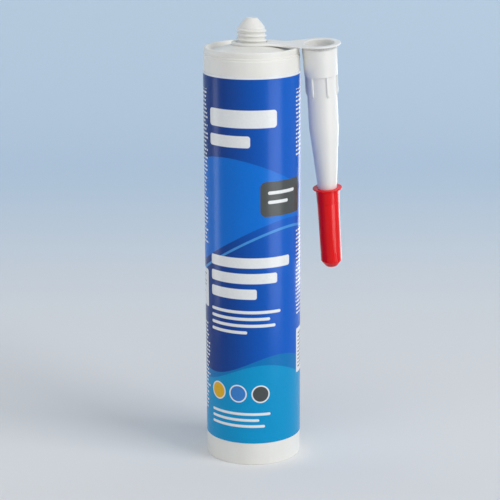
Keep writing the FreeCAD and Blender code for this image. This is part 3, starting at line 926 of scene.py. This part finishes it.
# %% Array round an axis
array_tree, array_in, array_out = new_tree("round_the_axis", {
    "Count": "Int", "Start Angle": "Float", "Material": "Material",
})
places = add_node(array_tree, "GeometryNodePoints", Count=array_in.outputs["Count"])
number = add_node(array_tree, "GeometryNodeInputIndex").outputs[0]
step_angle = maths(array_tree, "DIVIDE", 2 * math.pi, array_in.outputs["Count"])
angle = maths(array_tree, "MULTIPLY_ADD", number, step_angle, array_in.outputs["Start Angle"])
spin = add_node(array_tree, "ShaderNodeCombineXYZ", Z=angle)
copies = add_node(
    array_tree, "GeometryNodeInstanceOnPoints", Points=places.outputs[0],
    Instance=array_in.outputs["Geometry"], Rotation=spin.outputs[0],
)
end_tree(array_tree, copies.outputs[0], array_in.outputs["Material"], array_out)


def side_plate(name, section, width, round_by=0.15):
    """Small mesh: a section in the XZ plane, as thick as width across Y, its edges rounded."""
    built = bmesh.new()
    flats = []
    for side in (-1, 1):
        flats.append([built.verts.new((x, side * width / 2, z)) for x, z in section])
    built.faces.new(flats[0])
    built.faces.new(list(reversed(flats[1])))
    join_rings(built, flats[0], flats[1])
    bmesh.ops.recalc_face_normals(built, faces=built.faces)
    bmesh.ops.bevel(
        built, geom=list(built.edges), offset=round_by, segments=2, profile=0.5, affect="EDGES"
    )
    mesh = bpy.data.meshes.new(name)
    built.to_mesh(mesh)
    built.free()
    return mesh


# %% Piston
PISTON_LIP, PISTON_LENGTH, CROWN_THICKNESS, PISTON_WAIST, PISTON_WALL = 23.1, 20.0, 1.8, 0.7, 1.3
LIP_HEIGHT, BOSS_BORE, BOSS_RADIUS, BOSS_DEPTH, BOSS_SUNK = 2.2, 4.8, 6.0, 5.0, 0.3
RIB_COUNT, RIB_START, RIB_END, RIB_WIDTH, RIB_SUNK = 6, 5.4, 21.7, 1.2, 0.4
waist = PISTON_LIP - PISTON_WAIST
hollow = waist - PISTON_WALL
foot_z = CROWN_Z - PISTON_LENGTH
ceiling = CROWN_Z - CROWN_THICKNESS
lip_slope = LIP_HEIGHT + PISTON_WAIST
boss_foot = ceiling - BOSS_DEPTH

piston = turned("piston_cup", [
    (0.0, ceiling), (hollow, ceiling, 0.8), (hollow, foot_z, 0.3), (PISTON_LIP, foot_z, 0.6),
    (PISTON_LIP, foot_z + LIP_HEIGHT, 0.3), (waist, foot_z + lip_slope, 0.4),
    (waist, CROWN_Z - lip_slope, 0.4), (PISTON_LIP, CROWN_Z - LIP_HEIGHT, 0.3),
    (PISTON_LIP, CROWN_Z, 0.6), (0.0, CROWN_Z),
], piston_plastic, segments=160)
boss = turned("piston_boss", [
    (BOSS_BORE, ceiling + BOSS_SUNK), (BOSS_BORE, boss_foot, 0.3), (BOSS_RADIUS, boss_foot, 0.3),
    (BOSS_RADIUS, ceiling + BOSS_SUNK),
], piston_plastic, segments=64)
piston_ribs = grown(
    "piston_ribs",
    side_plate("piston_rib", [
        (RIB_START, ceiling + RIB_SUNK), (RIB_END, ceiling + RIB_SUNK), (RIB_END, boss_foot),
        (RIB_START, boss_foot),
    ], RIB_WIDTH),
    array_tree, {"Count": RIB_COUNT, "Start Angle": 0.0, "Material": piston_plastic},
)
for piece in (piston, boss, piston_ribs):
    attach(piece, "piston")
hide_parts("piston")

# %% [markdown]
# ## Hanger plate and nozzle
#
# The nozzle and its hanger come out of one tool. The plate is a level ring on the spout and a round
# flange that leans with the nozzle; between them the neck narrows and twists a little, and ring and
# neck have a slightly deeper edge. The plate is drawn flat, filled with triangles, then laid over a
# blend of the two planes. Its flange opens straight into the nozzle's turned wall, so the whole
# moulding is one closed skin.

# %% Plate outline
RING_RADIUS, RING_BORE, FLANGE_RADIUS, REACH = 10.2, 7.8, 10.85, 34.1
NECK_ROOT, NECK_WAIST, NECK_SOFT = 9.75, 5.5, 1.6
PLATE_THICKNESS, PLATE_ROUND, PLATE_TOP = 0.8, 0.28, 218.25
BEND_FROM, BEND_TO = 8.0, 21.0
LOOP_COUNT, RING_STEPS, NECK_STEPS, FLANGE_STEPS = 96, 64, 32, 80

ring_root_x = math.sqrt(RING_RADIUS ** 2 - NECK_ROOT ** 2)
flange_root_x = REACH - math.sqrt(FLANGE_RADIUS ** 2 - NECK_ROOT ** 2)
waist_x = (ring_root_x + flange_root_x) / 2
neck_slope = (NECK_ROOT - NECK_WAIST) / (math.hypot(waist_x - ring_root_x, NECK_SOFT) - NECK_SOFT)


def neck_half(x):
    """Half width of the neck, with a soft waist."""
    return NECK_WAIST + neck_slope * (math.hypot(x - waist_x, NECK_SOFT) - NECK_SOFT)


def on_plate(x, y, margin):
    """True where a point of the flat plate lies inside its outline by a margin."""
    if math.hypot(x, y) < RING_RADIUS - margin or math.hypot(x - REACH, y) < FLANGE_RADIUS - margin:
        return True
    return ring_root_x < x < flange_root_x and abs(y) < neck_half(x) - margin


def arc(centre_x, radius, start, sweep, steps):
    """Points along an arc of the flat plate, without the one at its end."""
    turns = [start + sweep * i / steps for i in range(steps)]
    return [Vector((centre_x + radius * math.cos(t), radius * math.sin(t))) for t in turns]


def neck_side(start_x, end_x, side):
    """Points along one side of the neck, without the one at its end."""
    places = [start_x + (end_x - start_x) * i / NECK_STEPS for i in range(NECK_STEPS)]
    return [Vector((x, side * neck_half(x))) for x in places]


ring_angle = math.acos(ring_root_x / RING_RADIUS)
flange_angle = math.acos((flange_root_x - REACH) / FLANGE_RADIUS)
outline = arc(0.0, RING_RADIUS, ring_angle, 2 * math.pi - 2 * ring_angle, RING_STEPS)
outline += neck_side(ring_root_x, flange_root_x, -1)
outline += arc(REACH, FLANGE_RADIUS, -flange_angle, 2 * flange_angle, FLANGE_STEPS)
outline += neck_side(flange_root_x, ring_root_x, 1)
print("plate outline", len(outline), "points")

# %% Planes of the plate
LEAN_OUT_FLANGE, LEAN_OUT_NOZZLE, LEAN_BACK, HANG_BEARING = 1.8, 3.25, 5.1, -3.7
FLANGE_SAG = 0.4
LIP_START, LIP_DROP, LIP_FADE = 9.0, 0.45, (19.0, 25.0)


def leaning(out, back):
    """Rotation that tips an upright axis so that its lower end leans out and back."""
    tipped_up = Vector((-math.tan(math.radians(out)), -math.tan(math.radians(back)), 1))
    return Vector((0, 0, 1)).rotation_difference(tipped_up).to_matrix().to_4x4()


flange_centre = Matrix.Translation((REACH, 0, -FLANGE_SAG))
flange_frame = flange_centre @ leaning(LEAN_OUT_FLANGE, LEAN_BACK)
nozzle_frame = flange_centre @ leaning(LEAN_OUT_NOZZLE, LEAN_BACK)
hang_turn = Matrix.Rotation(math.radians(HANG_BEARING), 4, "Z")
plate_frame = Matrix.Translation((0, 0, PLATE_TOP)) @ hang_turn


def on_bent_plate(x, y, down):
    """Place, in the plate's axes, of a point of the flat plate at a depth below its top."""
    share = smooth_step(x, BEND_FROM, BEND_TO)
    lip = smooth_step(math.hypot(x, y), LIP_START, RING_RADIUS) * (1 - smooth_step(x, *LIP_FADE))
    down += LIP_DROP * lip * down / PLATE_THICKNESS
    level = Vector((x, y, -down))
    return level.lerp(flange_frame @ Vector((x - REACH, y, -down)), share)


# %% Plate skin
GRID_PITCH, GRID_ROWS, ROW_SHARE, CLEAR_OF_HOLES, CLEAR_OF_EDGE = 1.1, 10, 0.87, 0.7, 0.9
MOUTH_ROUND, NOTCH_FLOOR, NOTCH_BASE, ROUND_STEPS = 0.35, 7.95, 2.3, 3


def offset_outline(inset):
    """Outline moved inwards by an inset."""
    moved = []
    for index, point in enumerate(outline):
        run = (outline[(index + 1) % len(outline)] - outline[index - 1]).normalized()
        moved.append(point - Vector((run.y, -run.x)) * inset)
    return moved


def circle(centre_x, radius):
    """Points round a hole of the flat plate."""
    return arc(centre_x, radius, 0.0, 2 * math.pi, LOOP_COUNT)


def loop_vertices(built, loop, down):
    """Vertices of a loop of the flat plate, at a depth below its top, laid on the bent plate."""
    return [built.verts.new(on_bent_plate(point.x, point.y, down)) for point in loop]


def inside(point, loop):
    """True where a point lies inside a closed loop of points."""
    crossings = 0
    for a, b in zip(loop, loop[1:] + loop[:1]):
        if (a.y > point.y) != (b.y > point.y):
            crossings += point.x < a.x + (point.y - a.y) / (b.y - a.y) * (b.x - a.x)
    return crossings % 2 == 1


def fill_plate(built, rings, flange_hole, down):
    """Triangles of one face of the plate, between the rings of its outline and its two holes."""
    holes = [(0.0, RING_BORE + PLATE_ROUND), (REACH, flange_hole)]
    loops = [offset_outline(PLATE_ROUND)] + [circle(*hole) for hole in holes]
    flat = [point for loop in loops for point in loop]
    verts = [vert for ring in rings for vert in ring]
    edges = []
    start = 0
    for loop in loops:
        edges += [(start + i, start + (i + 1) % len(loop)) for i in range(len(loop))]
        start += len(loop)
    for i in range(int((REACH + FLANGE_RADIUS + RING_RADIUS) / GRID_PITCH)):
        for j in range(-GRID_ROWS, GRID_ROWS + 1):
            x, y = -RING_RADIUS + GRID_PITCH * (i + 0.5 * (j % 2)), j * GRID_PITCH * ROW_SHARE
            clear = all(math.hypot(x - c, y) > r + CLEAR_OF_HOLES for c, r in holes)
            if clear and on_plate(x, y, CLEAR_OF_EDGE):
                flat.append(Vector((x, y)))
                verts.append(built.verts.new(on_bent_plate(x, y, down)))
    found, _, faces, origins, _, _ = delaunay_2d_cdt(flat, edges, [], 0, 1e-5)
    for face in faces:
        middle = sum((found[i] for i in face), Vector((0, 0))) / 3
        if inside(middle, loops[0]) and not any(inside(middle, hole) for hole in loops[1:]):
            built.faces.new([verts[origins[i][0]] for i in face])


built = bmesh.new()
quarter_turns = [math.pi / 2 * i / ROUND_STEPS for i in range(ROUND_STEPS + 1)]
quarter = [(PLATE_ROUND * (1 - math.sin(t)), PLATE_ROUND * (1 - math.cos(t))) for t in quarter_turns]
edge_steps = quarter + [(inset, PLATE_THICKNESS - down) for inset, down in reversed(quarter)]
outer_rings = [loop_vertices(built, offset_outline(inset), down) for inset, down in edge_steps]
bore_rings = [loop_vertices(built, circle(0.0, RING_BORE + inset), down) for inset, down in edge_steps]
for rings in (outer_rings, bore_rings):
    for first, second in zip(rings, rings[1:]):
        join_rings(built, first, second)

# %% Nozzle wall
NOZZLE_LENGTH, STRAIGHT_END, COLLAR_END = 110.0, 44.3, 16.6
COLLAR_TOP_RADIUS, COLLAR_END_RADIUS, TUBE_RADIUS, TUBE_BORE = 8.85, 8.45, 7.6, 6.45
TIP_RADIUS, TIP_BORE, SOCKET_MOUTH, SOCKET_ROOT = 2.1, 1.25, 7.6, 7.75
SOCKET_LEAD, SOCKET_START, SOCKET_END, BORE_START = 4.0, 4.15, 13.0, 15.5
LEAN_FROM, LEAN_OVER = 2.0, 4.0

wall_section = [
    # Inside, from the mouth down to the tip.
    (SOCKET_MOUTH + MOUTH_ROUND, 0.0), (SOCKET_MOUTH, 0.0, MOUTH_ROUND),
    (SOCKET_MOUTH, SOCKET_LEAD, 0.05), (SOCKET_ROOT, SOCKET_START, 0.05),
    (SOCKET_ROOT, SOCKET_END, 0.4), (TUBE_BORE, BORE_START, 0.5), (TUBE_BORE, STRAIGHT_END, 12.0),
    (TIP_BORE, NOZZLE_LENGTH, 0.15),
    # Outside, back up to the notches under the flange.
    (TIP_RADIUS, NOZZLE_LENGTH, 0.25), (TUBE_RADIUS, STRAIGHT_END, 14.0),
    (TUBE_RADIUS, COLLAR_END, 0.3), (COLLAR_END_RADIUS, COLLAR_END, 0.3),
    (COLLAR_TOP_RADIUS, NOTCH_BASE, 0.15), (NOTCH_FLOOR, NOTCH_BASE, 0.1),
    (NOTCH_FLOOR, PLATE_THICKNESS),
]


def on_nozzle(point):
    """Place of a point of the nozzle's wall: near the flange it follows the flange's own lean."""
    share = min(max((-point.z - LEAN_FROM) / LEAN_OVER, 0.0), 1.0)
    return (flange_frame @ point).lerp(nozzle_frame @ point, share)


wall_rings = []
for radius, down in with_rounds(wall_section):
    wall_rings.append(add_ring(built, radius, -down, LOOP_COUNT, on_nozzle))
for first, second in zip(wall_rings, wall_rings[1:]):
    join_rings(built, first, second)
top_rings, bottom_rings = ([rings[end] for rings in (outer_rings, bore_rings, wall_rings)]
                           for end in (0, -1))
fill_plate(built, top_rings, SOCKET_MOUTH + MOUTH_ROUND, 0.0)
fill_plate(built, bottom_rings, NOTCH_FLOOR, PLATE_THICKNESS)
open_edges = sum(1 for edge in built.edges if not edge.is_manifold)
print("nozzle moulding, open edges:", open_edges)
nozzle = finish_piece("nozzle_moulding", built, nozzle_plastic, plate_frame)
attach(nozzle, "nozzle")
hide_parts("nozzle")

# %% [markdown]
# Six fins stiffen the tube under the collar, and a ring of thin webs is all that joins the collar to
# the flange: the user bends the nozzle until they break. Both are one small shape repeated round an
# axis, and the thread inside the socket is the spiral tree again, turned inwards.

# %% Fins, webs and socket thread
FIN_HEIGHT, FIN_WIDTH, FIN_END, FIN_RUN_OUT, FIN_BEARING = 0.75, 1.2, 27.6, 1.8, -5.3
FIN_COUNT, FIN_SUNK, FIN_OVERLAP = 6, 0.5, 0.3
WEB_COUNT, NOTCH_WIDTH, WEB_OVERLAP = 62, 0.32, 0.2

fin_foot, fin_top = TUBE_RADIUS - FIN_SUNK, TUBE_RADIUS + FIN_HEIGHT
fins = grown(
    "stiffening_fins",
    side_plate("fin", [
        (fin_foot, -COLLAR_END + FIN_OVERLAP), (fin_top, -COLLAR_END + FIN_OVERLAP),
        (fin_top, -FIN_END + FIN_RUN_OUT), (TUBE_RADIUS - 0.1, -FIN_END), (fin_foot, -FIN_END),
    ], FIN_WIDTH, 0.18),
    array_tree,
    {"Count": FIN_COUNT, "Start Angle": math.radians(FIN_BEARING), "Material": nozzle_plastic},
    plate_frame @ nozzle_frame,
)
web_width = 2 * math.pi * COLLAR_TOP_RADIUS / WEB_COUNT - NOTCH_WIDTH
web_top, web_foot = -PLATE_THICKNESS + WEB_OVERLAP, -NOTCH_BASE - WEB_OVERLAP
webs = grown(
    "break_off_webs",
    side_plate("web", [
        (NOTCH_FLOOR - WEB_OVERLAP, web_top), (COLLAR_TOP_RADIUS, web_top),
        (COLLAR_TOP_RADIUS, web_foot), (NOTCH_FLOOR - WEB_OVERLAP, web_foot),
    ], web_width, 0.05),
    array_tree, {"Count": WEB_COUNT, "Start Angle": math.pi / WEB_COUNT, "Material": nozzle_plastic},
    plate_frame @ flange_frame,
)
SOCKET_CREST, SOCKET_TURNS, SOCKET_SUNK, SOCKET_THREAD_END = 6.95, 3.0, 0.2, 12.2
socket_base = plate_frame @ nozzle_frame @ Matrix.Translation((0, 0, -SOCKET_THREAD_END))
socket_thread = grown("socket_thread", bpy.data.meshes.new("socket_thread"), ridge_tree, {
    "Turns": SOCKET_TURNS, "Radius": (SOCKET_CREST + SOCKET_ROOT + SOCKET_SUNK) / 2,
    "Rise": SOCKET_TURNS * THREAD_PITCH, "Ridge Height": SOCKET_ROOT + SOCKET_SUNK - SOCKET_CREST,
    "Root Width": 1.8, "Crest Width": 0.55, "Corner Round": 0.1, "Fade": 0.035,
    "Facing": FACING_IN, "Material": nozzle_plastic,
}, socket_base)
for piece in (fins, webs, socket_thread):
    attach(piece, "nozzle")

# %% [markdown]
# ## The cap
#
# A thin red cup with a flat lip at its mouth. It grips the nozzle with a short land inside the mouth
# and then stands clear of the tip. A fine groove runs round it where the core and the cavity of the
# tool part, and its closed end has a soft chamfer.

# %% Cap
CAP_START, CAP_LENGTH, CAP_LIP_RADIUS, CAP_LIP_DEPTH = 76.5, 43.2, 7.65, 0.7
CAP_GROOVE_DOWN, CAP_CHAMFER, CAP_END_WALL, CAP_LAND = 7.95, 3.3, 1.2, 3.0
cap_mouth, cap_end = -CAP_START, -CAP_START - CAP_LENGTH
lip_foot, cap_groove = cap_mouth - CAP_LIP_DEPTH, cap_mouth - CAP_GROOVE_DOWN
cap_floor = cap_end + CAP_END_WALL
cap = turned("nozzle_cap_cup", [
    # Outside, from the mouth to the closed end.
    (4.98, cap_mouth, 0.12), (CAP_LIP_RADIUS, cap_mouth, 0.3), (CAP_LIP_RADIUS, lip_foot, 0.3),
    (6.1, lip_foot, 0.25), (5.84, cap_groove + 0.15, 0.04), (5.52, cap_groove, 0.03),
    (5.7, cap_groove - 0.25, 0.06), (5.4, cap_end + CAP_CHAMFER, 0.9), (2.9, cap_end, 1.4),
    (0.0, cap_end),
    # Inside, back to the land in the mouth.
    (0.0, cap_floor), (2.4, cap_floor, 0.8), (4.45, cap_end + 3.9, 0.8),
    (4.73, cap_mouth - CAP_LAND, 0.3),
], cap_plastic, segments=160, frame_in_mm=plate_frame @ nozzle_frame)
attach(cap, "nozzle_cap")
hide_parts("nozzle_cap")
